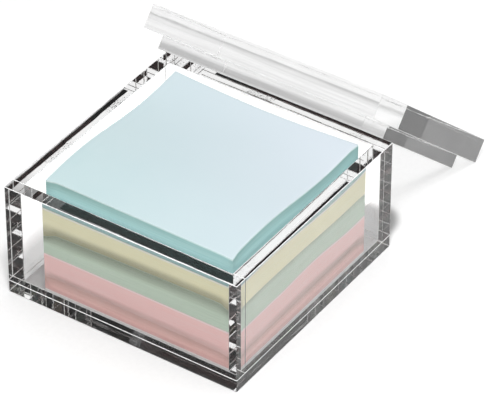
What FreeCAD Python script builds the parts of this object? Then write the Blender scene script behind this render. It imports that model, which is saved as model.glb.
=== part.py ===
"""Clear acrylic memo box with a lift-off stepped lid and five pads of notes.

The box is five plates bonded edge to face: a full-size base with four walls standing on it.
The lid is two plates bonded together: a thick cover as large as the box, and a locating
plate under it that drops into the mouth of the box. Here the lid is off. It leans behind the
box, with its far edge on the table and its locating plate on the rim of the back wall.
The pads lie in a stack, pushed into the front right corner, and stand proud of the rim.

Axes: X runs along the front wall, Y runs back towards the lid, Z is up.
Origin: the centre of the base plate's underside, on the table.
"""
import FreeCAD, Part
import Sketcher
import os

# ----------------------------------------------------------------------------------------
# Driving dimensions: alias, value (millimetres, or degrees for the lean), meaning
# ----------------------------------------------------------------------------------------
DIMENSIONS = [
    ("note_width", 76.2, "side of a square note"),
    ("corner_gap", 0.3, "gap between the stack and the two walls of its corner"),
    ("side_finger_gap", 8.75, "room for a finger between the stack and the left wall"),
    ("back_finger_gap", 8.75, "room for a finger between the stack and the back wall"),
    ("wall_height", 40.4, "base plate to rim"),
    ("wall_thickness", 5.0, "thickness of the four walls"),
    ("base_thickness", 5.0, "thickness of the base plate"),
    ("edge_bevel", 0.35, "polished bevel on every edge of every plate"),
    ("cover_thickness", 9.0, "thickness of the lid's cover plate"),
    ("locator_thickness", 5.0, "thickness of the lid's locating plate"),
    ("locator_clearance", 0.4, "gap between the locating plate and each wall, lid on"),
    ("lid_lean_angle", 41.6, "degrees between the leaning lid and the table"),
    ("lid_sideways", -0.4, "how far the leaning lid stands to the right of the box"),
    ("lean_gap", 0.05, "gap left where the leaning lid meets the rim"),
    ("coral_pad_thickness", 5.7, "bottom pad"),
    ("pink_pad_thickness", 10.8, "second pad"),
    ("green_pad_thickness", 9.3, "third pad"),
    ("yellow_pad_thickness", 10.0, "fourth pad"),
    ("blue_pad_thickness", 9.8, "top pad"),
]

PAD_COLOURS = ["coral", "pink", "green", "yellow", "blue"]

doc = FreeCAD.newDocument("MemoBox")
sheet = doc.addObject("Spreadsheet::Sheet", "Sizes")
for row, (alias, value, meaning) in enumerate(DIMENSIONS, start=1):
    sheet.set(f"A{row}", meaning)
    sheet.set(f"B{row}", str(value))
    sheet.setAlias(f"B{row}", alias)
doc.recompute()


def size(alias):
    """The expression that reads one driving dimension."""
    return f"Sizes.{alias}"


# ----------------------------------------------------------------------------------------
# Expressions that several pieces share
# ----------------------------------------------------------------------------------------
WALL = size("wall_thickness")
BASE = size("base_thickness")
BEVEL = size("edge_bevel")
NOTE = size("note_width")
CORNER_GAP = size("corner_gap")
WALL_HEIGHT = size("wall_height")

# The mouth of the box is the notes and their two gaps, and the walls go round that.
MOUTH_WIDTH = f"({NOTE} + {CORNER_GAP} + {size('side_finger_gap')})"
MOUTH_DEPTH = f"({NOTE} + {CORNER_GAP} + {size('back_finger_gap')})"
BOX_WIDTH = f"({MOUTH_WIDTH} + 2 * {WALL})"
BOX_DEPTH = f"({MOUTH_DEPTH} + 2 * {WALL})"
BOX_HEIGHT = f"({BASE} + {WALL_HEIGHT})"

# The lid leans in the YZ plane. Its underside rises towards the box at the lean angle, and
# its unit normal is (0, SIN, COS).
SIN = f"sin({size('lid_lean_angle')})"
COS = f"cos({size('lid_lean_angle')})"

# How far out along that normal the bevelled rim of the back wall reaches: the upper or the
# outer corner of the bevel, whichever is further.
RIM_REACH = (f"max(({BOX_DEPTH} / 2 - {BEVEL}) * {SIN} + {BOX_HEIGHT} * {COS};"
             f" {BOX_DEPTH} / 2 * {SIN} + ({BOX_HEIGHT} - {BEVEL}) * {COS})")

# The cover's underside lies one locating plate and the lean gap further out.
COVER_REACH = f"({RIM_REACH} + {size('lean_gap')} + {size('locator_thickness')})"

# The lid stands on the far edge of the cover, or on that of the locating plate where that one
# reaches lower. Both are bevelled, so a sharp corner would stick a little into the table.
LOCATOR_INSET = f"({WALL} + {size('locator_clearance')})"
LOCATOR_DROP = f"({LOCATOR_INSET} * {SIN} - {size('locator_thickness')} * {COS})"
FOOT_Z = f"(-{BEVEL} * min({SIN}; {COS}) - min(0; {LOCATOR_DROP}))"
FOOT_Y = f"(({COVER_REACH} - {FOOT_Z} * {COS}) / {SIN})"


# ----------------------------------------------------------------------------------------
# Making a plate
# ----------------------------------------------------------------------------------------
def origin_plane(body, role):
    """One of the body's own origin planes, found by its role."""
    for feature in body.Origin.OriginFeatures:
        if feature.Role == role:
            return feature
    raise ValueError(f"{body.Label} has no {role}")


def draw_centred_rectangle(sketch, width, depth):
    """A rectangle about the sketch's origin: drawn as a unit square, then bound to the sheet."""
    corners = [(-0.5, -0.5), (0.5, -0.5), (0.5, 0.5), (-0.5, 0.5)]
    for start, end in zip(corners, corners[1:] + corners[:1]):
        line = Part.LineSegment(FreeCAD.Vector(*start, 0), FreeCAD.Vector(*end, 0))
        sketch.addGeometry(line)
    first, last = 1, 2
    for side in range(4):
        sketch.addConstraint(Sketcher.Constraint("Coincident", side, last, (side + 1) % 4, first))
    front, right, back, left = range(4)
    for side in (front, back):
        sketch.addConstraint(Sketcher.Constraint("Horizontal", side))
    for side in (right, left):
        sketch.addConstraint(Sketcher.Constraint("Vertical", side))
    sketch_origin = (-1, 1)
    sketch.addConstraint(Sketcher.Constraint("Symmetric", front, first, right, last, *sketch_origin))
    for name, side, expression in (("width", front, width), ("depth", right, depth)):
        index = sketch.addConstraint(Sketcher.Constraint("Distance", side, 1.0))
        sketch.renameConstraint(index, name)
        sketch.setExpression(f"Constraints.{name}", expression)


def make_slab(label, width, depth, thickness, centre_y="0", bottom="0"):
    """A rectangular slab: a sketch padded upwards from the height called bottom."""
    body = doc.addObject("PartDesign::Body", label)
    body.Label = label
    sketch = body.newObject("Sketcher::SketchObject", f"{label}_outline")
    sketch.AttachmentSupport = [(origin_plane(body, "XY_Plane"), "")]
    sketch.MapMode = "FlatFace"
    sketch.setExpression("AttachmentOffset.Base.y", centre_y)
    sketch.setExpression("AttachmentOffset.Base.z", bottom)
    draw_centred_rectangle(sketch, width, depth)
    pad = body.newObject("PartDesign::Pad", f"{label}_thickness")
    pad.Profile = sketch
    pad.setExpression("Length", thickness)
    doc.recompute()
    return body


def bevel_every_edge(body):
    """Ease all the edges of a plate, as they are before bonding and polishing."""
    slab = body.Tip
    chamfer = body.newObject("PartDesign::Chamfer", f"{body.Label}_bevel")
    chamfer.Base = (slab, [f"Edge{n}" for n in range(1, len(slab.Shape.Edges) + 1)])
    chamfer.setExpression("Size", BEVEL)
    doc.recompute()


def place(body, along_x="0", along_y="0", along_z="0"):
    """Bind where the body stands in the box's own frame."""
    body.setExpression("Placement.Base.x", along_x)
    body.setExpression("Placement.Base.y", along_y)
    body.setExpression("Placement.Base.z", along_z)


# ----------------------------------------------------------------------------------------
# The box
# ----------------------------------------------------------------------------------------
def make_base():
    """The base is full size, and the walls stand on it."""
    base = make_slab("base_plate", BOX_WIDTH, BOX_DEPTH, BASE)
    bevel_every_edge(base)
    place(base)
    return base


def make_long_wall(label, side):
    """The front and back walls run the whole width, and cover the ends of the side walls."""
    wall = make_slab(label, BOX_WIDTH, WALL, WALL_HEIGHT)
    bevel_every_edge(wall)
    place(wall, along_y=f"{side} * ({BOX_DEPTH} - {WALL}) / 2", along_z=BASE)
    return wall


def make_side_wall(label, side):
    """The side walls fit between the front wall and the back wall."""
    wall = make_slab(label, WALL, MOUTH_DEPTH, WALL_HEIGHT)
    bevel_every_edge(wall)
    place(wall, along_x=f"{side} * ({BOX_WIDTH} - {WALL}) / 2", along_z=BASE)
    return wall


# ----------------------------------------------------------------------------------------
# The lid, drawn flat with its far edge on the X axis, then leaned over by its placement
# ----------------------------------------------------------------------------------------
LID_CENTRE = f"-{BOX_DEPTH} / 2"


def lean_on_the_box(body):
    """Turn a lid plate about the far edge, and set that edge on the table."""
    body.Placement = FreeCAD.Placement(FreeCAD.Vector(), FreeCAD.Rotation(FreeCAD.Vector(1, 0, 0), 1))
    place(body, along_x=size("lid_sideways"), along_y=FOOT_Y, along_z=FOOT_Z)
    body.setExpression("Placement.Rotation.Angle", f"-{size('lid_lean_angle')} * 1 deg")


def make_lid_cover():
    """The cover is as large as the box, so the lid's edges end up flush with the walls."""
    cover = make_slab("lid_cover", BOX_WIDTH, BOX_DEPTH, size("cover_thickness"),
                      centre_y=LID_CENTRE)
    bevel_every_edge(cover)
    lean_on_the_box(cover)
    return cover


def make_lid_locator():
    """The locating plate is the mouth of the box less its clearance, bonded under the cover."""
    locator = make_slab("lid_locator",
                        f"{BOX_WIDTH} - 2 * {LOCATOR_INSET}",
                        f"{BOX_DEPTH} - 2 * {LOCATOR_INSET}",
                        size("locator_thickness"),
                        centre_y=LID_CENTRE,
                        bottom=f"-{size('locator_thickness')}")
    bevel_every_edge(locator)
    lean_on_the_box(locator)
    return locator


# ----------------------------------------------------------------------------------------
# The pads
# ----------------------------------------------------------------------------------------
def make_pads():
    """Each pad lies on the one before it, and all share the stack's corner."""
    across = f"({MOUTH_WIDTH} - {NOTE}) / 2 - {CORNER_GAP}"
    forwards = f"{CORNER_GAP} - ({MOUTH_DEPTH} - {NOTE}) / 2"
    underside = BASE
    pads = []
    for colour in PAD_COLOURS:
        thickness = size(f"{colour}_pad_thickness")
        pad = make_slab(f"{colour}_pad", NOTE, NOTE, thickness)
        place(pad, across, forwards, underside)
        underside = f"{underside} + {thickness}"
        pads.append(pad)
    return pads


def check_document():
    """Stop if any object failed, because a failed recompute doesn't raise."""
    for thing in doc.Objects:
        if "Invalid" in thing.State or "Error" in thing.State:
            raise RuntimeError(f"{thing.Label} failed: {thing.State}")


def export_pieces(pieces):
    """Write one STEP file for each piece, named after its label."""
    os.makedirs("parts", exist_ok=True)
    for piece in pieces:
        shape = piece.Shape
        if shape.isNull() or not shape.isValid():
            raise RuntimeError(f"{piece.Label} has no valid shape")
        shape.exportStep(f"parts/{piece.Label}.step")
        box = shape.BoundBox
        print(f"{piece.Label:14s} volume {shape.Volume / 1000:7.2f} cm3  "
              f"x {box.XMin:7.2f} {box.XMax:7.2f}  y {box.YMin:7.2f} {box.YMax:7.2f}  "
              f"z {box.ZMin:6.2f} {box.ZMax:6.2f}")


pieces = [
    make_base(),
    make_long_wall("front_wall", -1),
    make_long_wall("back_wall", 1),
    make_side_wall("left_wall", -1),
    make_side_wall("right_wall", 1),
    make_lid_cover(),
    make_lid_locator(),
]
pieces += make_pads()
doc.recompute()
check_document()
export_pieces(pieces)
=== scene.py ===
# %% [markdown]
# # A clear memo box with a leaning lid and five note pads
#
# The object is a square desk box of thick clear acrylic, a lid of two clear plates that leans
# against its back wall, and five pads of coloured notes. This lesson gives each of the twelve
# parts of the fixed frame its real look. It works in metres, in the frame of the CAD model.
# X runs to the right, Y away from the front wall and Z up.

# %% Load the fixed frame
import math

import bpy
import numpy as np
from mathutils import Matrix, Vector


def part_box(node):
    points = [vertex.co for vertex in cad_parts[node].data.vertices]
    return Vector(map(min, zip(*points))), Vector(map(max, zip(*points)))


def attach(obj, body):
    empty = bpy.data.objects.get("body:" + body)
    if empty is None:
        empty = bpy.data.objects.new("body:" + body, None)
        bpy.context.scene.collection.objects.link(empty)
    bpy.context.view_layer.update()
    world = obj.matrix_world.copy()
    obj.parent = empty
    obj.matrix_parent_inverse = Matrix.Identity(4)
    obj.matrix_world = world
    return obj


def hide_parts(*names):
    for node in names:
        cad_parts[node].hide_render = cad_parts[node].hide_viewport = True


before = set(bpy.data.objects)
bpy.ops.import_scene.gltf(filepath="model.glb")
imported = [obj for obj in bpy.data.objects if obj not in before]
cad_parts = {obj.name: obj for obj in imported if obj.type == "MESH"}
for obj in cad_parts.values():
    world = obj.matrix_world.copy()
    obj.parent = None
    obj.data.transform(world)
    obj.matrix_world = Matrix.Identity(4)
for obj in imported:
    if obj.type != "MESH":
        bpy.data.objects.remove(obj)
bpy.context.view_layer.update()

scene = bpy.context.scene
MM = 0.001
print("nodes in the frame:", ", ".join(sorted(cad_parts)))

# %% [markdown]
# ## The camera
#
# A long lens from a little over a metre away, 38 degrees above the table and 34 degrees round to
# the right of the front wall. Such a long lens keeps the plates' edges almost parallel, as a
# catalogue picture of a small thing does. The camera is turned to look at one point in the box.

# %% Place the camera
VIEW_AZIMUTH, VIEW_ELEVATION, VIEW_ROLL = map(math.radians, (34.107, 37.768, 0.125))
VIEW_DISTANCE, VIEW_LENS, SENSOR_WIDTH = 1.2658, 269.73, 36.0
look_at = np.array([9.343, 13.283, 25.0]) * MM

backwards = np.array([
    math.sin(VIEW_AZIMUTH) * math.cos(VIEW_ELEVATION),
    -math.cos(VIEW_AZIMUTH) * math.cos(VIEW_ELEVATION),
    math.sin(VIEW_ELEVATION),
])
level_right = np.cross(-backwards, [0, 0, 1])
level_right /= np.linalg.norm(level_right)
level_up = np.cross(backwards, level_right)
turned_right = math.cos(VIEW_ROLL) * level_right + math.sin(VIEW_ROLL) * level_up
turned_up = math.cos(VIEW_ROLL) * level_up - math.sin(VIEW_ROLL) * level_right

camera_pose = np.eye(4)
camera_pose[:3, 0] = turned_right
camera_pose[:3, 1] = turned_up
camera_pose[:3, 2] = backwards
camera_pose[:3, 3] = look_at + backwards * VIEW_DISTANCE

lens = bpy.data.cameras.new("camera")
lens.sensor_width = SENSOR_WIDTH
lens.lens = VIEW_LENS
lens.clip_start, lens.clip_end = 0.05, 50.0
camera = bpy.data.objects.new("camera", lens)
camera.matrix_world = camera_pose.T.tolist()
scene.collection.objects.link(camera)
scene.camera = camera
print("camera at", np.round(camera_pose[:3, 3], 3), "m")

# %% [markdown]
# ## Small helpers for node materials
#
# A material is a chain of nodes. `add_node` puts one node in and fills its inputs, where a value
# can be a number, a colour or the output of another node. The other helpers are for the nodes
# that come up again and again. This keeps each recipe below short.

# %% Helpers that add nodes
def add_node(tree, kind, settings=None, **inputs):
    """Adds a node and fills its inputs.

    settings are the node's own options. An input is given by its name, with _ for a space, or by
    i and its number where several have the same name.
    """
    node = tree.nodes.new("ShaderNode" + kind)
    for name, value in (settings or {}).items():
        setattr(node, name, value)
    for name, value in inputs.items():
        numbered = name[0] == "i" and name[1:].isdigit()
        socket = node.inputs[int(name[1:]) if numbered else name.replace("_", " ")]
        if isinstance(value, bpy.types.NodeSocket):
            tree.links.new(value, socket)
        else:
            socket.default_value = value
    return node


def new_material(name):
    """An empty node material, its tree and its output node."""
    material = bpy.data.materials.new(name)
    material.use_nodes = True
    material.node_tree.nodes.clear()
    output = material.node_tree.nodes.new("ShaderNodeOutputMaterial")
    return material, material.node_tree, output


print("helpers: add_node, new_material")

# %% Helpers for sums, ramps and blends
def maths(tree, operation, first, second=0.0):
    """The output of one sum, product, largest and so on of two values."""
    node = add_node(tree, "Math", {"operation": operation}, i0=first, i1=second)
    return node.outputs["Value"]


def vector_maths(tree, operation, first, second=(0, 0, 0)):
    """The same for two vectors. A length or a distance comes out as one number."""
    node = add_node(tree, "VectorMath", {"operation": operation}, i0=first, i1=second)
    return node.outputs["Value" if operation in ("LENGTH", "DISTANCE") else "Vector"]


def scaled(tree, colour, share):
    """A colour times a number."""
    node = add_node(tree, "VectorMath", {"operation": "SCALE"}, i0=colour, Scale=share)
    return node.outputs["Vector"]


def remap(tree, value, start, end, low=0.0, high=1.0, smooth=False):
    """low where the value is at start, high where it is at end, and flat outside these two.

    Between them it runs straight, or in a smooth S.
    """
    settings = {"interpolation_type": "SMOOTHSTEP" if smooth else "LINEAR"}
    node = add_node(tree, "MapRange", settings, Value=value, From_Min=start, From_Max=end,
                    To_Min=low, To_Max=high)
    return node.outputs["Result"]


def ramp(tree, value, stops):
    """A colour ramp. stops are (place, colour) pairs with three numbers to a colour."""
    node = add_node(tree, "ValToRGB", Fac=value)
    elements = node.color_ramp.elements
    while len(elements) < len(stops):
        elements.new(0.5)
    for element, (place, colour) in zip(elements, stops):
        element.position = place
        element.color = (*colour, 1.0)
    return node.outputs["Color"]


def blend_colours(tree, share, first, second):
    """The first colour where share is 0 and the second where it is 1."""
    node = add_node(tree, "Mix", {"data_type": "RGBA"}, i0=share, i6=first, i7=second)
    return node.outputs[2]


def blend_shaders(tree, share, first, second):
    """The first shader where share is 0 and the second where it is 1."""
    node = add_node(tree, "MixShader", i0=share, i1=first.outputs[0], i2=second.outputs[0])
    return node


print("helpers: maths, vector_maths, scaled, remap, ramp, blend_colours, blend_shaders")

# %% Colours
def grey(level):
    """A grey as a colour."""
    return (level, level, level)


def srgb(red, green, blue):
    """A colour as it is read off a screen, 0 to 255, turned into the linear values nodes use."""
    c = np.array([red, green, blue]) / 255.0
    linear = np.where(c <= 0.04045, c / 12.92, ((c + 0.055) / 1.055) ** 2.4)
    return tuple(float(v) for v in linear)


print("white is", srgb(255, 255, 255), "and mid grey is", np.round(srgb(128, 128, 128), 3))

# %% [markdown]
# ## The room
#
# Clear acrylic has no colour of its own: it only shows the room, bent. So the room is the finish.
# What the clear plates mirror and bend is a studio that is white down by the table, dark higher
# up and bright again overhead. It is nearly black behind the object and dark grey in front of
# it. It could be built of walls and lamps, but here each half is a colour ramp over the height
# of the direction in which a ray leaves: a ramp has only six levels to set, one at a time.

# %% The studio that clear plates see
scene.view_settings.view_transform = "Standard"
world = bpy.data.worlds.new("studio")
scene.world = world
world.use_nodes = True
air = world.node_tree
air.nodes.clear()
ray = add_node(air, "LightPath").outputs
direction = add_node(air, "TexCoord").outputs["Generated"]
split = add_node(air, "SeparateXYZ", Vector=direction).outputs
right, behind, height = split["X"], split["Y"], split["Z"]

HEIGHTS = (0.00, 0.28, 0.45, 0.72, 0.88, 0.95)
NEARLY_BLACK = (0.035, 0.035, 0.036)
CROSSING = 0.35
back_levels = (grey(0.84), grey(0.82), NEARLY_BLACK, NEARLY_BLACK, grey(0.55), grey(1.0))
front_levels = (grey(1.0), grey(0.95), grey(0.108), grey(0.105), grey(0.65), grey(1.0))
dark_back = ramp(air, height, list(zip(HEIGHTS, back_levels)))
grey_front = ramp(air, height, list(zip(HEIGHTS, front_levels)))
at_back = remap(air, behind, -CROSSING, CROSSING, smooth=True)
room = blend_colours(air, at_back, grey_front, dark_back)
print("studio of", len(HEIGHTS), "levels, in front and behind")

# %% [markdown]
# ## Bright things in the room
#
# Real rooms are full of things, and these draw the dark and light streaks in thick clear edges.
# They could be modelled one by one, but a noise pattern over all directions, cut off sharply,
# reaches every edge at once. In the back right part of the room its patches are bright, and
# everywhere the space between them is dimmed. A ray that was mirrored many times inside a plate,
# or an odd number of times from three up, also brings back less.

# %% Patches of light, and rays that were mirrored often
PATCH_EDGE, PATCH_LIGHT = (0.53, 0.58), 0.9
BRIGHTEST, DIMMED_IN_FRONT, DIMMED_MORE_BEHIND = 1.1, 0.2, 0.5
FEW_MIRRORS, MANY_MIRRORS = 2.5, 8.5
ODD_LOSS, MANY_LOSS = 0.6, 0.55

mirrors = ray["Glossy Depth"]
noise = add_node(air, "TexNoise", Vector=direction, Scale=10.0, Detail=6.0, Roughness=0.65)
patches = remap(air, noise.outputs["Fac"], *PATCH_EDGE, smooth=True)
at_right = remap(air, right, 0.0, CROSSING, 0.0, PATCH_LIGHT, smooth=True)
added = maths(air, "MULTIPLY", patches, maths(air, "MULTIPLY", at_right, at_back))
between_patches = maths(air, "SUBTRACT", 1.0, patches)
dimming = maths(air, "MULTIPLY", at_back, DIMMED_MORE_BEHIND)
dimming = maths(air, "ADD", dimming, DIMMED_IN_FRONT)
bright = maths(air, "SUBTRACT", BRIGHTEST, maths(air, "MULTIPLY", between_patches, dimming))
odd = maths(air, "MODULO", mirrors, 2.0)
odd = maths(air, "MULTIPLY", odd, maths(air, "GREATER_THAN", mirrors, FEW_MIRRORS))
left_over = maths(air, "SUBTRACT", 1.0, maths(air, "MULTIPLY", odd, ODD_LOSS))
room = scaled(air, room, maths(air, "MULTIPLY", bright, left_over))
white_light = add_node(air, "CombineXYZ", X=added, Y=added, Z=added)
room = vector_maths(air, "ADD", room, white_light.outputs[0])
many = maths(air, "GREATER_THAN", mirrors, MANY_MIRRORS)
kept = maths(air, "SUBTRACT", 1.0, maths(air, "MULTIPLY", many, MANY_LOSS))
print("patches of light in the room's back right part, up to", PATCH_LIGHT, "brighter")

# %% [markdown]
# ## The light on paper and table
#
# The paper and the table get their light evenly from all round, more from low down and from the
# front, and from two soft lamps: a small one high in front and a weak wide one behind. One light
# for everything would be simpler, but a studio dark enough to draw the edges of clear plates
# leaves paper dull. So the lamps stay unseen in the plates, whose reflections come from the
# studio above. The camera itself sees a white sky.

# %% The even light, and which ray sees what
LEFT_TO_RIGHT, FRONT_TO_BACK = (0.97, 1.05), (1.55, 0.68)
tent_levels = [(0.0, grey(1.0)), (0.3, grey(0.9)), (0.6, grey(0.38)), (1.0, grey(0.22))]
tent = ramp(air, height, tent_levels)
from_right = remap(air, right, -1.0, 1.0, *LEFT_TO_RIGHT)
from_front = remap(air, behind, -1.0, 1.0, *FRONT_TO_BACK)
round_about = maths(air, "MULTIPLY", from_right, from_front)
even_light = add_node(air, "Background", Color=tent, Strength=round_about)
studio_light = add_node(air, "Background", Color=room, Strength=kept)
white_sky = add_node(air, "Background", Color=(1, 1, 1, 1), Strength=1.0)
bent = maths(air, "MAXIMUM", ray["Is Glossy Ray"], ray["Is Transmission Ray"])
unseen = blend_shaders(air, bent, even_light, studio_light)
sky = blend_shaders(air, ray["Is Camera Ray"], unseen, white_sky)
add_node(air, "OutputWorld", Surface=sky.outputs[0])
print("the world has", len(air.nodes), "nodes")

# %% The two lamps
def softbox(name, size, energy, azimuth, elevation, distance):
    """A square lamp that looks at the origin. Angles are in degrees, azimuth from the front."""
    lamp_data = bpy.data.lights.new(name, "AREA")
    lamp_data.shape = "SQUARE"
    lamp_data.size = size
    lamp_data.energy = energy
    lamp = bpy.data.objects.new(name, lamp_data)
    azimuth, elevation = math.radians(azimuth), math.radians(elevation)
    towards_lamp = Vector((math.sin(azimuth) * math.cos(elevation),
                           -math.cos(azimuth) * math.cos(elevation), math.sin(elevation)))
    lamp.location = towards_lamp * distance
    lamp.rotation_euler = towards_lamp.to_track_quat("Z", "Y").to_euler()
    lamp.visible_glossy = False
    lamp.visible_transmission = False
    scene.collection.objects.link(lamp)
    print(name, energy, "W")


softbox("key_softbox", size=0.2, energy=13.5, azimuth=35, elevation=66.5, distance=1.35)
softbox("top_softbox", size=0.9, energy=2.0, azimuth=140, elevation=65, distance=0.8)

# %% [markdown]
# ## The table
#
# One large pale square just under the feet of the object, which keeps a soft shadow. Far away it
# fades to an even pale grey, a calm backdrop for low views.
#
# Thick clear edges act as light pipes: what comes out at the rim went in at the foot, so a rim is
# bright where its light comes from open table and dark where it comes from under the box. Tracing
# how much light gets in there would take far too many samples, so the table answers by the kind
# of ray that asks, with painted light and shade. The camera sees plain white paint, with a
# painted shadow at the back right corner. A ray bent by a plate sees it painted a little
# brighter, brightest in a strip behind the back wall, and with painted shade in soft bands under
# the leaning lid. A ray that is mirrored sees the table in front of the box painted darker. A ray
# that was piped along a plate sees a painted glow, which is strong on open table, weak near the
# front left corner and nearly nothing under the box or after many mirrorings.

# %% Make the table
FLOOR_DROP, TABLE_REACH = 0.20 * MM, 6.0
floor_mesh = bpy.data.meshes.new("table_top")
corner_signs = np.array([[-1, -1], [1, -1], [1, 1], [-1, 1]], float)
floor_points = np.column_stack([corner_signs * TABLE_REACH, np.full(4, -FLOOR_DROP)])
floor_mesh.from_pydata(floor_points.tolist(), [], [(0, 1, 2, 3)])
floor = bpy.data.objects.new("table_top", floor_mesh)
scene.collection.objects.link(floor)

table_paint, tree, output = new_material("white_table")
floor_mesh.materials.append(table_paint)
ray = add_node(tree, "LightPath").outputs
place = add_node(tree, "TexCoord").outputs["Object"]
split = add_node(tree, "SeparateXYZ", Vector=place).outputs
x, y = split["X"], split["Y"]
mirrors = ray["Glossy Depth"]
print("table", 2 * TABLE_REACH, "m wide,", FLOOR_DROP / MM, "mm below the feet")

# %% What piped rays see: a painted glow
OPEN_GLOW, CORNER_GLOW, DEEP_GLOW, COVERED_GLOW = 1.0, 0.12, 0.04, 0.02
COVERED_X, COVERED_Y = (-42.6 * MM, 42.3 * MM), (-44.2 * MM, 44.7 * MM)
DIM_CORNER, DIM_RADIUS, DIM_REACH = (-47 * MM, -47 * MM, 0.0), 10 * MM, 35 * MM


def switch(tree, condition, when_true, when_false=1.0):
    """One of two numbers, by a condition that is 0 or 1."""
    span = maths(tree, "MULTIPLY", condition, maths(tree, "SUBTRACT", when_true, when_false))
    return maths(tree, "ADD", span, when_false)


def between(tree, value, low, high):
    """1 where a value lies between two others, else 0."""
    above = maths(tree, "GREATER_THAN", value, low)
    return maths(tree, "MULTIPLY", above, maths(tree, "LESS_THAN", value, high))


# Painted glow: strong on open table, weak near the front left corner, nearly none under the box.
piped = maths(tree, "GREATER_THAN", mirrors, 1.5)
deep = maths(tree, "GREATER_THAN", mirrors, MANY_MIRRORS)
covered = maths(tree, "MULTIPLY", between(tree, x, *COVERED_X),
                between(tree, y, *COVERED_Y))
from_corner = vector_maths(tree, "DISTANCE", place, DIM_CORNER)
open_glow = remap(tree, from_corner, DIM_RADIUS, DIM_REACH, CORNER_GLOW, OPEN_GLOW)
glow = switch(tree, deep, DEEP_GLOW, switch(tree, covered, COVERED_GLOW, open_glow))
print("glow", OPEN_GLOW, "on open table,", COVERED_GLOW, "under the box")

# %% What rays bent by a plate see: painted shade in bands and fine streaks under the lid
BANDS_START, BANDS_END = 90, 130
BANDS_WIDTH = BANDS_END - BANDS_START
bands = [(94, 1.0), (98, 0.80), (101, 0.44), (103, 0.50), (105, 0.74), (112, 0.78), (115, 0.66),
         (116.5, 0.42), (117.3, 0.69), (125, 0.67)]
STREAK_DRAWING, STREAK_DEPTH, STREAKS_START = (30, 900, 0), 0.08, 94 * MM
STRIP_Y, STRIP_RIGHT, STRIP_THROUGH = (46 * MM, 72 * MM), 25 * MM, 2.5

# Painted shade: the table seen through the lid is darker in soft bands and fine streaks.
place_in_bands = remap(tree, y, BANDS_START * MM, BANDS_END * MM)
band_stops = [((far - BANDS_START) / BANDS_WIDTH, grey(share)) for far, share in bands]
painted_lid_shade = ramp(tree, place_in_bands, band_stops)
drawn = add_node(tree, "Mapping", Vector=place, Scale=STREAK_DRAWING)
noise = add_node(tree, "TexNoise", Vector=drawn.outputs[0], Scale=1.0, Detail=3.0)
streaks = remap(tree, noise.outputs["Fac"], 0.3, 0.7, -STREAK_DEPTH, STREAK_DEPTH)
streaks = maths(tree, "MULTIPLY", streaks, maths(tree, "GREATER_THAN", y, STREAKS_START))
painted_lid_shade = maths(tree, "MULTIPLY", painted_lid_shade, maths(tree, "ADD", 1.0, streaks))
# Painted light: a brighter strip behind the back wall.
back_strip = maths(tree, "MULTIPLY", between(tree, y, *STRIP_Y),
                   maths(tree, "LESS_THAN", x, STRIP_RIGHT))
print(len(bands), "bands under the lid, from", BANDS_START, "to", BANDS_END, "mm")

# %% [markdown]
# ## The painted shadow at the back right corner
#
# Behind the right back corner of the box a deeper shadow with a round end is painted on the
# table, because the stack and two thick walls stand in the light there. Its outline is the set of
# points at one distance from a quarter of the plane: right of the shade corner only the X
# distance counts, behind it only the Y distance, and past both the straight distance, which makes
# the end round.

# %% Painted shade, and the strength of the table for each kind of ray
SHADE_CORNER, SHADE_DEPTH = (33.5 * MM, 56.5 * MM, 0.0), 0.56
SHADE_FULL, SHADE_GONE = 8 * MM, 12.5 * MM
SHADE_START_X, SHADE_FULL_X, SHADE_Y = 5 * MM, 25 * MM, (47.6 * MM, 80 * MM)
SEEN, THROUGH, MIRRORED, FRONT_EDGE = 1.02, 1.38, 0.35, -47 * MM

# Painted shadow: the table is darker behind the right back corner of the box.
past_corner = vector_maths(tree, "SUBTRACT", place, SHADE_CORNER)
past_corner = vector_maths(tree, "MAXIMUM", past_corner)
past_corner = vector_maths(tree, "LENGTH", past_corner)
rounded = remap(tree, past_corner, SHADE_FULL, SHADE_GONE, 1.0, 0.0, smooth=True)
sideways = remap(tree, x, SHADE_START_X, SHADE_FULL_X, smooth=True)
shade = maths(tree, "MULTIPLY", rounded, sideways)
shade = maths(tree, "MULTIPLY", shade, between(tree, y, *SHADE_Y))
unshaded = maths(tree, "SUBTRACT", 1.0, maths(tree, "MULTIPLY", shade, SHADE_DEPTH))
through = maths(tree, "MULTIPLY", painted_lid_shade, switch(tree, back_strip, STRIP_THROUGH, THROUGH))
in_front = maths(tree, "MULTIPLY", ray["Is Glossy Ray"], maths(tree, "LESS_THAN", y, FRONT_EDGE))
seen = maths(tree, "MULTIPLY", unshaded, SEEN)
seen_through = maths(tree, "MULTIPLY", unshaded, through)
seen_mirrored = switch(tree, in_front, MIRRORED)
strength = switch(tree, ray["Is Transmission Ray"], seen_through, seen_mirrored)
strength = switch(tree, ray["Is Camera Ray"], seen, strength)
print("shade corner at", np.round(np.array(SHADE_CORNER) / MM, 1), "mm")

# %% Put the table's paint together
FADE_START, FADE_END, FADE_LEVEL = 0.2, 0.7, 0.80
DARKER, LIGHTER = 0.80, 0.82
grain = add_node(tree, "TexNoise", Vector=place, Scale=600.0, Detail=3.0)
tone = ramp(tree, grain.outputs["Fac"], [(0.3, grey(DARKER)), (0.7, grey(LIGHTER))])
paint = add_node(tree, "BsdfDiffuse", Color=scaled(tree, tone, strength))
shining = add_node(tree, "Emission", Color=(1, 1, 1, 1), Strength=glow)
carried = maths(tree, "MULTIPLY", piped, ray["Is Transmission Ray"])
near_look = blend_shaders(tree, carried, paint, shining)
far_away = remap(tree, vector_maths(tree, "LENGTH", place), FADE_START, FADE_END, smooth=True)
unmirrored = maths(tree, "LESS_THAN", mirrors, 0.5)
straight = maths(tree, "MULTIPLY", ray["Is Transmission Ray"], unmirrored)
straight = maths(tree, "MAXIMUM", ray["Is Camera Ray"], straight)
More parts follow.
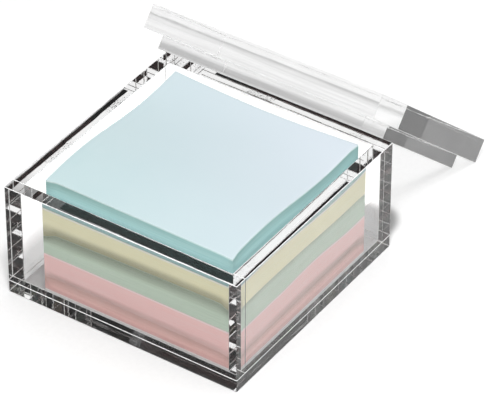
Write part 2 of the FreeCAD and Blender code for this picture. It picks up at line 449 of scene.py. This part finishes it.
backdrop = add_node(tree, "Emission", Color=(1, 1, 1, 1), Strength=FADE_LEVEL)
look = blend_shaders(tree, maths(tree, "MULTIPLY", straight, far_away), near_look, backdrop)
tree.links.new(look.outputs[0], output.inputs["Surface"])
print("the table's paint has", len(tree.nodes), "nodes")

# %% [markdown]
# ## Clear acrylic
#
# Acrylic bends light a little less than window glass, with an index of 1.49. Its polished faces
# are flat; its cut edges were sawn and polished and are never quite flat, and that waviness is
# what breaks the reflections in an edge into streaks.
#
# Light that falls on the paper or the table goes through the acrylic unbent and only loses a
# share at each surface. Tracing it through bent paths would take thousands of samples and look
# the same.

# %% The acrylic of a polished face or a sawn edge
ACRYLIC_IOR = 1.49


def clear_acrylic(name, wave_height, wave_size, drawn_out=(1, 1, 1), lean=0.0, passes=0.93,
                  glancing=0.0):
    """Clear acrylic.

    wave_height is how far the surface strays from flat and wave_size how long a wave is.
    drawn_out stretches the waves along X, Y or Z, and lean turns them with a leaning plate.
    passes is the share of the light that gets through a surface hit square on, and glancing the
    share that gets through one hit at a glancing angle.
    """
    material, tree, output = new_material(name)
    place = add_node(tree, "TexCoord").outputs["Object"]
    stretched = add_node(tree, "Mapping", {"vector_type": "TEXTURE"}, Vector=place,
                         Rotation=(-lean, 0, 0), Scale=drawn_out)
    waves = add_node(tree, "TexNoise", Vector=stretched.outputs[0],
                     Scale=1.0 / wave_size, Detail=3.0, Roughness=0.45)
    bumps = add_node(tree, "Bump", Height=waves.outputs["Fac"],
                     Strength=1.0, Distance=wave_height)
    body = add_node(tree, "BsdfPrincipled", Base_Color=(1, 1, 1, 1), Roughness=0.0,
                    IOR=ACRYLIC_IOR, Transmission_Weight=1.0, Normal=bumps.outputs[0])
    ray = add_node(tree, "LightPath").outputs
    inside = add_node(tree, "NewGeometry").outputs["Backfacing"]
    bend = remap(tree, inside, 0.0, 1.0, ACRYLIC_IOR, 1 / ACRYLIC_IOR)
    mirrored = add_node(tree, "Fresnel", IOR=bend).outputs[0]
    let_through = ramp(tree, mirrored, [(0.0, grey(passes)), (1.0, grey(glancing))])
    unbent = add_node(tree, "BsdfTransparent", Color=let_through)
    lighting = maths(tree, "MAXIMUM", ray["Is Shadow Ray"], ray["Is Diffuse Ray"])
    look = blend_shaders(tree, lighting, body, unbent)
    tree.links.new(look.outputs[0], output.inputs["Surface"])
    return material


square_on = ((ACRYLIC_IOR - 1) / (ACRYLIC_IOR + 1)) ** 2
print("acrylic hit square on mirrors a share of", round(square_on, 3))

# %% [markdown]
# ## Faces, edges, corners and bonded seams
#
# A face has waves far too shallow to see, and a sawn edge has short ones, drawn out along the way
# the saw went. The sharp corners were scraped blunt, which leaves a fine whitish line. Where two
# plates are bonded, the light goes straight through, because solvent cement melts them into one;
# in the box's seams a few tiny bubbles stayed.

# %% The finishes of faces and sawn edges
FACE_WAVE, FACE_WAVE_SIZE = 0.4e-6, 12 * MM
EDGE_WAVE_SIZE, DRAWN_OUT = 1.6 * MM, 12.0


def cut_edges(part, wave_height, lean=0.0, passes=0.35, glancing=0.0):
    """The finish of sawn and polished edges that run along X, Y and Z."""
    finishes = []
    for axis, letter in enumerate("xyz"):
        stretch = tuple(DRAWN_OUT if a == axis else 1.0 for a in range(3))
        name = "_".join(("acrylic", part, "edge", letter))
        finishes.append(clear_acrylic(name, wave_height, EDGE_WAVE_SIZE, stretch, lean, passes,
                                      glancing))
    return finishes


box_face = clear_acrylic("acrylic_box_face", FACE_WAVE, FACE_WAVE_SIZE, passes=0.80)
lid_face = clear_acrylic("acrylic_lid_face", FACE_WAVE, FACE_WAVE_SIZE, passes=0.99, glancing=0.6)
print("acrylic faces:", box_face.name, lid_face.name)

# %% The finishes of scraped corners and bonded seams
BUBBLE_LIMIT = 0.40

scraped_corner, tree, output = new_material("acrylic_scraped_corner")
place = add_node(tree, "TexCoord").outputs["Object"]
nicks = add_node(tree, "TexNoise", Vector=place, Scale=1400.0, Detail=3.0)
pale = ramp(tree, nicks.outputs["Fac"], [(0.35, grey(0.72)), (0.6, grey(0.97))])
scraped = add_node(tree, "BsdfPrincipled", Base_Color=pale, Roughness=0.3,
                   IOR=ACRYLIC_IOR, Transmission_Weight=0.1)
tree.links.new(scraped.outputs[0], output.inputs["Surface"])

clear_joint, tree, output = new_material("acrylic_clear_joint")
straight_through = add_node(tree, "BsdfTransparent", Color=(1, 1, 1, 1))
tree.links.new(straight_through.outputs[0], output.inputs["Surface"])

bubbly_joint, tree, output = new_material("acrylic_bubbly_joint")
place = add_node(tree, "TexCoord").outputs["Object"]
bubbles = add_node(tree, "TexNoise", Vector=place, Scale=2600.0, Detail=1.0)
clusters = add_node(tree, "TexNoise", Vector=place, Scale=55.0, Detail=2.0)
crowded = maths(tree, "MULTIPLY", bubbles.outputs["Fac"], clusters.outputs["Fac"])
is_bubble = maths(tree, "GREATER_THAN", crowded, BUBBLE_LIMIT)
straight_through = add_node(tree, "BsdfTransparent", Color=(1, 1, 1, 1))
air_bubble = add_node(tree, "BsdfDiffuse", Color=(0.9, 0.9, 0.9, 1))
look = blend_shaders(tree, is_bubble, straight_through, air_bubble)
tree.links.new(look.outputs[0], output.inputs["Surface"])
print("corners and seams:", scraped_corner.name, clear_joint.name, bubbly_joint.name)

# %% [markdown]
# ## A plate as a skin of grid lines
#
# Every plate and every pad is a box with softened edges. Its skin could be a cube with a bevel,
# but a skin worked out from grid lines gives full control: lines can be placed where a joint
# starts, or packed close where an edge rolls over. `skin_of_lines` numbers all crossings of the
# lines that lie on the outside and joins them to four-sided faces. `soften_edges` then rolls the
# edges to a small radius.

# %% The grid skin
def skin_of_lines(x, y, z):
    """The outside of a box cut by the lines x, y and z.

    Every crossing (x_i, y_j, z_k) with i, j or k first or last is a point. Each of the six sides
    is a table of point numbers, and four neighbours in a table make one face, wound outwards.
    """
    i, j, k = np.meshgrid(*(np.arange(len(line)) for line in (x, y, z)), indexing="ij")
    last = np.array([len(x), len(y), len(z)]) - 1
    outside = (i == 0) | (j == 0) | (k == 0) | (i == last[0]) | (j == last[1]) | (k == last[2])
    number = np.full(outside.shape, -1)
    number[outside] = np.arange(np.count_nonzero(outside))
    points = np.column_stack([x[i[outside]], y[j[outside]], z[k[outside]]])
    tables = [number[0].T, number[-1], number[:, 0], number[:, -1].T,
              number[:, :, 0].T, number[:, :, -1]]
    faces = [np.stack([t[:-1, :-1], t[1:, :-1], t[1:, 1:], t[:-1, 1:]], -1).reshape(-1, 4)
             for t in tables]
    return points, np.concatenate(faces)


halves = np.linspace(0.0, 1.0, 3)
print("a cube cut in half each way has", len(skin_of_lines(halves, halves, halves)[1]), "faces")

# %% Grid lines of a box, and its rolled edges
HAIR = 1e-6


def edge_lines(low, high, radius, cuts=(), steps=2):
    """Grid lines from low to high: evenly turned steps where the edges roll, and cuts between.

    In the roll, a line stands at radius x tan(angle) past the flat part, for angles up to 45
    degrees, so that every step turns the rounded surface by the same angle.
    """
    roll = radius * np.tan(np.linspace(math.pi / 4, 0.0, steps + 1))
    inner = [c for c in cuts if low + radius + HAIR < c < high - radius - HAIR]
    return np.unique(np.concatenate([low + radius - roll, inner, high - radius + roll]).round(8))


def soften_edges(points, low, high, radius):
    """Rolls a box's edges to a radius.

    The nearest point of the box that is smaller by the radius on every side is found by
    clamping, and the point is put one radius from it, in the direction in which it lay.
    """
    nearest = np.clip(points, low + radius, high - radius)
    away = points - nearest
    length = np.linalg.norm(away, axis=1, keepdims=True)
    return nearest + away / np.maximum(length, 1e-12) * radius


def face_centres(points, faces):
    """The middle of each face."""
    return points[faces].mean(axis=1)


print("10 mm with rolls of 1 mm is cut at", edge_lines(0.0, 10 * MM, 1 * MM) / MM, "mm")

# %% From arrays to a piece
def make_piece(name, points, faces, materials, face_material, smooth_faces):
    """Puts arrays into a new mesh object that sits at the origin."""
    mesh = bpy.data.meshes.new(name)
    mesh.from_pydata(points.tolist(), [], faces.tolist())
    for material in materials:
        mesh.materials.append(material)
    mesh.polygons.foreach_set("material_index", face_material.astype(np.int32))
    mesh.polygons.foreach_set("use_smooth", smooth_faces)
    mesh.update()
    piece = bpy.data.objects.new(name, mesh)
    scene.collection.objects.link(piece)
    return piece


def node_corners(node):
    """The lowest and the highest corner of a CAD node as arrays."""
    low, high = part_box(node)
    return np.array(low), np.array(high)


print("the blue pad's top is", round(node_corners("blue_pad")[1][2] / MM, 2), "mm up")

# %% [markdown]
# ## The five plates of the box
#
# The base is a full-size plate and the walls stand on it. The front and back walls run the whole
# width, and the side walls fit between them. Where two plates touch, both get the bonded finish
# on exactly the same rectangle. Their small softened edges leave a fine groove along each seam,
# as on the real box. The upright corner nearest to the viewer is left clear, because light from
# the room goes through it. One hollow block would be simpler to make, but only separate plates
# have the seams and the cut edges that show what the box is made of.

# %% How one plate is made
EDGE_RADIUS, LID_EDGE_RADIUS = 0.20 * MM, 0.10 * MM
TOUCH = 0.02 * MM
FACE, JOINT, CORNER, EDGE = 0, 1, 2, 3


def plate(name, low, high, thin_axis, touching, finishes, radius=EDGE_RADIUS, pose=None):
    """One clear plate. thin_axis is the axis across its thickness.

    touching holds rectangles (low corner, high corner) in which the plate is bonded to another.
    finishes holds the face, joint and corner, and the cut edges that run along X, Y and Z. A
    face of the skin that lies within the flat part along two axes is flat, and the third axis
    says which side it is on; all other faces are part of a rolled edge.
    """
    low, high = np.array(low, float), np.array(high, float)
    cuts = [sorted({float(c[axis]) for pair in touching for c in pair}) for axis in range(3)]
    lines = [edge_lines(low[a], high[a], radius, cuts[a]) for a in range(3)]
    points, faces = skin_of_lines(*lines)
    points = soften_edges(points, low, high, radius)
    middle = face_centres(points, faces)
    on_face = (middle > low + radius - TOUCH) & (middle < high - radius + TOUCH)
    rolled = on_face.sum(axis=1) < 2
    runs_along = 3 - thin_axis - np.argmin(on_face, axis=1)
    material = np.where(on_face[:, thin_axis], EDGE + runs_along, FACE)
    material[rolled] = CORNER
    nearest = (middle[:, 0] > high[0] - radius) & (middle[:, 1] < low[1] + radius)
    material[rolled & nearest & on_face[:, 2]] = FACE
    for first, second in touching:
        inside = (middle > np.array(first) - TOUCH) & (middle < np.array(second) + TOUCH)
        material[inside.all(axis=1) & ~rolled] = JOINT
    if pose is not None:
        points = points @ pose[:3, :3].T + pose[:3, 3]
    return make_piece(name, points, faces, finishes, material, rolled)


print("edges rolled to", EDGE_RADIUS / MM, "mm, on the lid", LID_EDGE_RADIUS / MM, "mm")

# %% Where the plates of the box touch
outer, deck = node_corners("base_plate")[1][[0, 2]]
wall_top = node_corners("front_wall")[1][2]
inner = node_corners("right_wall")[0][0]
r = EDGE_RADIUS

under_front = ((-outer + r, -outer + r, deck), (outer - r, -inner - r, deck))
under_back = ((-outer + r, inner + r, deck), (outer - r, outer - r, deck))
under_left = ((-outer + r, -inner + r, deck), (-inner - r, inner - r, deck))
under_right = ((inner + r, -inner + r, deck), (outer - r, inner - r, deck))


def upright_joint(side_x, side_y):
    """The rectangle in which a side wall's end is bonded to the front or back wall."""
    x = sorted((side_x * (inner + r), side_x * (outer - r)))
    return ((x[0], side_y * inner, deck + r), (x[1], side_y * inner, wall_top - r))


print("mouth", round(2 * inner / MM, 2), "mm wide, rim", round(wall_top / MM, 2), "mm high")

# %% Make the plates of the box
WALL_EDGE_WAVE, BASE_EDGE_WAVE = 14e-6, 25e-6
# The axis across a plate's thickness, and where it is bonded to others.
box_plates = {
    "base_plate": (2, [under_front, under_back, under_left, under_right]),
    "front_wall": (1, [under_front, upright_joint(-1, -1), upright_joint(1, -1)]),
    "back_wall": (1, [under_back, upright_joint(-1, 1), upright_joint(1, 1)]),
    "left_wall": (0, [under_left, upright_joint(-1, -1), upright_joint(-1, 1)]),
    "right_wall": (0, [under_right, upright_joint(1, -1), upright_joint(1, 1)]),
}
box_finishes = [box_face, bubbly_joint, scraped_corner]
wall_finishes = box_finishes + cut_edges("wall", WALL_EDGE_WAVE)
base_finishes = box_finishes + cut_edges("base", BASE_EDGE_WAVE)
for node, (thin_axis, touching) in box_plates.items():
    low, high = node_corners(node)
    finishes = base_finishes if thin_axis == 2 else wall_finishes
    piece = plate("clear_" + node, low, high, thin_axis, touching, finishes)
    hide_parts(node)
    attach(piece, "box")
    print(piece.name, len(piece.data.polygons), "faces")

# %% [markdown]
# ## The lid
#
# The lid is a thick cover with a thinner plate bonded under it, which drops into the mouth of the
# box and keeps the lid from sliding. It could be modelled leaning from the start. But lying flat,
# with its far edge on the X axis, its lines run along the axes and `plate` can make it too. It is
# then turned by the lean angle and set down behind the box.
#
# The frame gives the box round the leaning CAD plate, whose small bevels cut its sharp corners
# off. So the sharp corners lie outside that box, by what a bevel takes off in Y and in Z.

# %% Where the lid leans
LEAN = math.radians(41.6)
COVER_THICK, LOCATOR_THICK, LOCATOR_INSET = 9.0 * MM, 5.0 * MM, 5.4 * MM
CAD_BEVEL = 0.35 * MM

cover_low, cover_high = node_corners("lid_cover")
half = (cover_high[0] - cover_low[0]) / 2
lid_middle = (cover_high[0] + cover_low[0]) / 2
lean_pose = np.eye(4)
lean_pose[1:3, 1:3] = [[math.cos(LEAN), math.sin(LEAN)], [-math.sin(LEAN), math.cos(LEAN)]]
bevel_loss = CAD_BEVEL * min(math.sin(LEAN), math.cos(LEAN))
foot_y = cover_high[1] + bevel_loss - COVER_THICK * math.sin(LEAN)
foot_z = cover_low[2] - bevel_loss
lean_pose[:3, 3] = [lid_middle, foot_y, foot_z]
print("lid pose", np.round(lean_pose[:3, 3] / MM, 3))

# %% Make the two plates of the lid
LID_EDGE_WAVE = 9e-6

r = LID_EDGE_RADIUS
near, far = -2 * half + LOCATOR_INSET, -LOCATOR_INSET
side = half - LOCATOR_INSET
bond = ((-side + r, near + r, 0.0), (side - r, far - r, 0.0))
lid_finishes = [lid_face, clear_joint, scraped_corner]
lid_finishes += cut_edges("lid", LID_EDGE_WAVE, LEAN, passes=0.9, glancing=0.6)
cover = plate("clear_lid_cover", (-half, -2 * half, 0), (half, 0, COVER_THICK), 2, [bond],
              lid_finishes, r, lean_pose)
locator = plate("clear_lid_locator", (-side, near, -LOCATOR_THICK), (side, far, 0), 2, [bond],
                lid_finishes, r, lean_pose)
for piece, node in ((cover, "lid_cover"), (locator, "lid_locator")):
    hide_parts(node)
    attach(piece, "lid")
    print(piece.name, len(piece.data.polygons), "faces")

# %% [markdown]
# ## Note paper
#
# A pad has two looks. Its top is one sheet of pastel paper, pale, with a soft tooth and faint
# clouds in the pulp. Painted light makes it a bit lighter from the front left to the back right.
# A plain colour would do from far away. Two layers of noise are used because they keep the sheet
# from looking like plastic from near by, and noise has no seam and doesn't repeat.

# %% The flat face of a sheet
PULP_CLOUDS, PAINTED_LIGHT_TINT, PAINTED_LIGHT_REACH = (0.95, 0.975, 0.98), (1.20, 1.07, 1.13), 60 * MM
TOOTH_HEIGHT = 0.02 * MM


def tinted(colour, shares):
    """A colour with its red, green and blue each times a share of their own."""
    return tuple(c * s for c, s in zip(colour, shares))


def paper_top(name, colour):
    """Pale paper: the colour runs deeper in clouds, and lighter with X + Y as painted light."""
    material, tree, output = new_material(name)
    place = add_node(tree, "TexCoord").outputs["Object"]
    split = add_node(tree, "SeparateXYZ", Vector=place).outputs
    across = maths(tree, "ADD", split["X"], split["Y"])
    # Painted light: the colour grows lighter from the front left to the back right.
    painted_light_share = remap(tree, across, -PAINTED_LIGHT_REACH, PAINTED_LIGHT_REACH)
    clouds = add_node(tree, "TexNoise", Vector=place, Scale=28.0, Detail=4.0, Roughness=0.6)
    tint = ramp(tree, clouds.outputs["Fac"],
                [(0.35, tinted(colour, PULP_CLOUDS)), (0.65, colour)])
    tint = blend_colours(tree, painted_light_share, tint, (*tinted(colour, PAINTED_LIGHT_TINT), 1.0))
    tooth = add_node(tree, "TexNoise", Vector=place, Scale=5000.0, Detail=4.0)
    bump = add_node(tree, "Bump", Height=tooth.outputs["Fac"], Strength=0.35,
                    Distance=TOOTH_HEIGHT)
    body = add_node(tree, "BsdfPrincipled", Base_Color=tint, Roughness=0.85,
                    Specular_IOR_Level=0.2, Normal=bump.outputs[0])
    tree.links.new(body.outputs[0], output.inputs["Surface"])
    return material


print("the paper's tooth is", TOOTH_HEIGHT / MM, "mm high")

# %% [markdown]
# ## The cut sides of a pad
#
# The sides are the cut edges of many sheets: light goes in between them, so they look deeper in
# colour, and fine lines run round the pad at the height of each sheet. Where sheets have slipped
# inwards, shade is painted into the hollow. A highlight is painted on the topmost sheets, and the
# lowest pad has a backing of pale card. Real grooves would take many times the faces, so the
# lines are drawn in the colour and a slight bump.

# %% Lines and bundles of sheets
SHEET, LINE_DRIFT, LINE_SHARE = 0.1 * MM, 3.0, 0.3
BUNDLES_ALONG, BUNDLES_UP = 60.0, 4000.0


def sheet_pattern(tree, place, rise, thickness):
    """Lines at each sheet times bundles of sheets, from about 0 in the gaps to about 1.

    A line is the sine of 2 pi times the number of sheets below, which a slow noise lets drift.
    The bundles are a noise that is drawn out along the sheets.
    """
    drift = add_node(tree, "TexNoise", Vector=place, Scale=90.0, Detail=3.0)
    sheets = maths(tree, "MULTIPLY", rise, thickness / SHEET)
    drifted = maths(tree, "MULTIPLY", drift.outputs["Fac"], LINE_DRIFT)
    level = maths(tree, "ADD", sheets, drifted)
    wave = maths(tree, "SINE", maths(tree, "MULTIPLY", level, 2 * math.pi))
    lines = remap(tree, wave, -1.0, 1.0)
    split = add_node(tree, "SeparateXYZ", Vector=place).outputs
    along_sheets = add_node(tree, "CombineXYZ",
                            X=maths(tree, "MULTIPLY", split["X"], BUNDLES_ALONG),
                            Y=maths(tree, "MULTIPLY", split["Y"], BUNDLES_ALONG),
                            Z=maths(tree, "MULTIPLY", rise, thickness * BUNDLES_UP))
    bundles = add_node(tree, "TexNoise", Vector=along_sheets.outputs[0], Scale=1.0,
                       Detail=5.0)
    fine = maths(tree, "MULTIPLY", lines, LINE_SHARE)
    fine = maths(tree, "ADD", fine, 1.0 - LINE_SHARE / 2)
    return maths(tree, "MULTIPLY", bundles.outputs["Fac"], fine)


print("a sheet is", SHEET / MM, "mm thick")

# %% Painted shade in hollows, the painted highlight line and the backing
HOLLOW_SHADE_TINT = (0.36, 0.36, 0.30)
LIGHT_EDGE, LIGHT_BEGINS, LIGHT_FULL = 0.55 * MM, -0.02, 0.01
BACKING, BACKING_FULL, PALE = 1.1 * MM, 0.8, 0.75


def paper_edges(name, colour, shade, thickness, light_line, backed):
    """The cut sides of a pad, from shade in the gaps to colour on the sheets.

    The attribute rise goes from 0 at the bottom sheet to 1 at the top one, so the lines follow
    the sheets where they bend. The attribute hollow sets how much painted shade a point gets.
    light_line is the strength of the highlight painted on the topmost sheets, and backed says
    whether the pad has a backing of pale card under it.
    """
    material, tree, output = new_material(name)
    place = add_node(tree, "TexCoord").outputs["Object"]
    rise = add_node(tree, "Attribute", {"attribute_name": "rise"}).outputs["Fac"]
    hollow = add_node(tree, "Attribute", {"attribute_name": "hollow"}).outputs["Fac"]
    pattern = sheet_pattern(tree, place, rise, thickness)
    tint = ramp(tree, pattern, [(0.25, shade), (0.72, colour)])
    # Painted shade in the hollows: the colour turns darker where the hollow attribute is high.
    tint = blend_colours(tree, hollow, tint, (*tinted(colour, HOLLOW_SHADE_TINT), 1.0))
    # Painted highlight on the topmost sheets, and the pale backing at the bottom of the lowest
    # pad.
    top_edge = 1.0 - LIGHT_EDGE / thickness
    lit = remap(tree, rise, top_edge + LIGHT_BEGINS, top_edge + LIGHT_FULL, 0.0, light_line)
    backing = remap(tree, rise, BACKING / thickness, BACKING_FULL * BACKING / thickness,
                    0.0, float(backed))
    pale = tuple((1.0 - PALE) * c + PALE for c in colour)
    tint = blend_colours(tree, maths(tree, "MAXIMUM", lit, backing), tint, (*pale, 1.0))
    bump = add_node(tree, "Bump", Height=pattern, Strength=0.4, Distance=0.03 * MM)
    body = add_node(tree, "BsdfPrincipled", Base_Color=tint, Roughness=0.9,
                    Specular_IOR_Level=0.1, Normal=bump.outputs[0])
    tree.links.new(body.outputs[0], output.inputs["Surface"])
    return material


print("light line", LIGHT_EDGE / MM, "mm high, backing", round(BACKING / MM, 2), "mm")

# %% The colours of the pads: top, side, shade between the sheets, and painted highlight line
BACKED_PAD = "coral"
pad_colours = {
    "coral": (srgb(214, 170, 163), srgb(252, 202, 195), srgb(236, 178, 171), 0.0),
    "pink": (srgb(216, 182, 178), srgb(255, 212, 208), srgb(255, 200, 196), 0.6),
    "green": (srgb(184, 203, 185), srgb(206, 224, 204), srgb(190, 211, 189), 0.0),
    "yellow": (srgb(209, 204, 168), srgb(255, 252, 212), srgb(252, 245, 198), 0.8),
    "blue": (srgb(177, 195, 197), srgb(165, 201, 201), srgb(147, 188, 188), 0.4),
}
print("pads:", ", ".join(pad_colours), "with a backing under the", BACKED_PAD, "one")

# %% [markdown]
# ## The five pads
#
# A pad is not a brick. Its sheets have slipped, so its sides have soft hollows, darkened with
# painted shade, and the whole stack has sagged, so the boundaries between the pads are slightly
# wavy. Each sheet could be modelled by itself, but fifty to a hundred of them in a pad show only
# as lines in its sides.
# So a pad is one skin of many grid lines. `hollow_out` pulls its sides in, by hollows whose
# middle, height and depth are given for each side, and `sag` bends the stack as one block, so
# that pads which touch still touch.

# %% How the stack sags
SWELL, BACK_DIP, CORNER_LIFT = 1.2 * MM, 1.7 * MM, 0.3 * MM
RIGHT_BULGE, FRONT_SINK = 1.3 * MM, 2.4 * MM
DIP_STARTS = 0.6
BULGE_BACK, BULGE_UP, BULGE_REACH = 0.6, 0.36, 0.3
SINK_UP, SINK_REACH = 0.57, 0.25
stack_low, stack_high = node_corners("coral_pad")[0], node_corners("blue_pad")[1]


def smooth_step(t):
    """0 below 0, 1 above 1, and 3 t squared minus 2 t cubed between."""
    t = np.clip(t, 0.0, 1.0)
    return t * t * (3.0 - 2.0 * t)


def hill(t):
    """1 at 0, falling as (1 minus t squared) squared to 0 at 1 and -1."""
    return np.clip(1.0 - t * t, 0.0, 1.0) ** 2


def sag(points):
    """Bends the stack. u, v and w run from 0 to 1 to the right, to the back and upwards.

    The lift is w to the power 1.5 times: a swell of sine 2 pi v, less a dip in the middle of the
    back edge, plus a small lift all over. Then a hill lifts the pink pad's top at the right, and
    another hill lowers the yellow pad's bottom at the front left. BACK and UP say where the
    middle of a hill lies along v and w, and REACH how far it goes.
    """
    u, v, w = ((points - stack_low) / (stack_high - stack_low)).T
    lift = SWELL * np.sin(2 * math.pi * v) + CORNER_LIFT
    at_the_back = smooth_step((v - DIP_STARTS) / (1.0 - DIP_STARTS))
    lift -= BACK_DIP * np.sin(math.pi * np.clip(u, 0, 1)) * at_the_back
    moved = points.copy()
    moved[:, 2] += np.clip(w, 0, 1) ** 1.5 * lift
    u, v = np.clip(u, 0, 1), np.clip(v, 0, 1)
    bulge = RIGHT_BULGE * u ** 2 * hill((v - BULGE_BACK) / BULGE_REACH)
    moved[:, 2] += bulge * hill((w - BULGE_UP) / BULGE_REACH)
    moved[:, 2] -= FRONT_SINK * (1 - u) ** 1.5 * (1 - v) ** 2 * hill((w - SINK_UP) / SINK_REACH)
    return moved


print("stack", np.round((stack_high - stack_low) / MM, 2), "mm")

# %% How the sheets of a pad have slipped
RUN_OUT, ON_SIDE, DEEPEST = 0.06, 0.99, 1.9
# The axis along which a side looks, and which way.
SIDES = {"front": (1, -1), "right": (0, 1)}
# Side, middle and reach of a hollow, and its depths at the side's two ends.
hollows = {
    "coral": [("front", 1.0, 0.7, 0.9, 0.7), ("right", 1.0, 0.5, 0.9, 1.5)],
    "pink": [("front", 0.0, 0.35, 0.9, 0.5), ("right", 0.0, 0.4, 0.6, 1.2)],
    "green": [("front", 1.0, 0.45, 1.9, 1.4), ("right", 1.0, 0.2, 1.0, 0.7)],
    "yellow": [("front", 0.0, 0.60, 1.9, 1.6), ("right", 0.0, 0.1, 0.3, 0.3)],
    "blue": [("front", 0.9, 0.45, 1.0, 0.3), ("right", 0.9, 0.45, 0.6, 0.6)],
}


def hollow_out(points, low, high, side, middle, reach, near, far):
    """Pulls in one side of a pad. Gives the moved points and how deep each one lies, in mm.

    middle and reach are the height of the hollow and how far it goes up and down, as shares of
    the pad's thickness. near and far are its depths in millimetres at the two ends of the side,
    and it runs out just before the corners. The pull fades to nothing at the opposite side, so
    the sheets stay flat.
    """
    axis, sign = SIDES[side]
    shares = np.clip((points - low) / (high - low), 0, 1)
    along, nearness = shares[:, 1 - axis], shares[:, axis]
    if sign < 0:
        nearness = 1.0 - nearness
    ends = smooth_step(along / RUN_OUT) * smooth_step((1.0 - along) / RUN_OUT)
    deepness = (near + (far - near) * along) * hill((shares[:, 2] - middle) / reach)
    moved = points.copy()
    moved[:, axis] -= sign * deepness * ends * MM * nearness
    return moved, deepness * (nearness > ON_SIDE)


print("deepest hollow", DEEPEST, "mm")

# %% Make the pads
PAPER_RADIUS, PAD_GAP = 0.16 * MM, 0.02 * MM
PAD_LINES = (41, 41, 24)


def pad_skin(low, high):
    """The straight block of a pad: points, faces, and which faces are its flat top and bottom."""
    cuts = [np.linspace(low[a], high[a], PAD_LINES[a])[1:-1] for a in range(3)]
    lines = [edge_lines(low[a], high[a], PAPER_RADIUS, cuts[a]) for a in range(3)]
    points, faces = skin_of_lines(*lines)
    points = soften_edges(points, low, high, PAPER_RADIUS)
    up = face_centres(points, faces)[:, 2]
    flat = (up > high[2] - PAPER_RADIUS / 3) | (up < low[2] + PAPER_RADIUS / 3)
    return points, faces, flat


def make_pad(colour):
    """One pad of notes from its CAD node's box."""
    node = colour + "_pad"
    low, high = node_corners(node)
    clear = np.array([0, 0, PAD_GAP])
    low, high = low + clear, high - clear
    straight, faces, flat = pad_skin(low, high)
    rise = (straight[:, 2] - low[2]) / (high[2] - low[2])
    points, deepness = straight, np.zeros(len(straight))
    for hollow in hollows[colour]:
        pulled, deep = hollow_out(straight, low, high, *hollow)
        points = points + pulled - straight
        deepness = np.maximum(deepness, deep)
    points = sag(points)
    top, side, shade, light_line = pad_colours[colour]
    thickness = float(high[2] - low[2])
    edges = paper_edges(colour + "_edges", side, shade, thickness, light_line,
                        backed=colour == BACKED_PAD)
    finishes = [paper_top(colour + "_sheet", top), edges]
    piece = make_piece("notes_" + colour, points, faces, finishes, np.where(flat, 0, 1),
                       np.ones(len(faces), bool))
    # hollow tells the edge finish how much painted shade a point of a side gets.
    attributes = {"rise": rise, "hollow": np.clip(deepness / DEEPEST, 0, 1)}
    for name, values in attributes.items():
        piece.data.attributes.new(name, "FLOAT", "POINT").data.foreach_set("value", values)
    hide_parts(node)
    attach(piece, node + "_body")
    print(piece.name, len(faces), "faces")


for colour in pad_colours:
    make_pad(colour)

# %% [markdown]
# ## How far light is followed
#
# A ray in a thick clear plate may bounce between its faces a dozen times before it gets out, so
# the limits are raised. Otherwise such rays end black.

# %% Set the bounces
scene.cycles.max_bounces = 40
scene.cycles.glossy_bounces = 40
scene.cycles.transmission_bounces = 40
scene.cycles.transparent_max_bounces = 48
scene.cycles.diffuse_bounces = 4
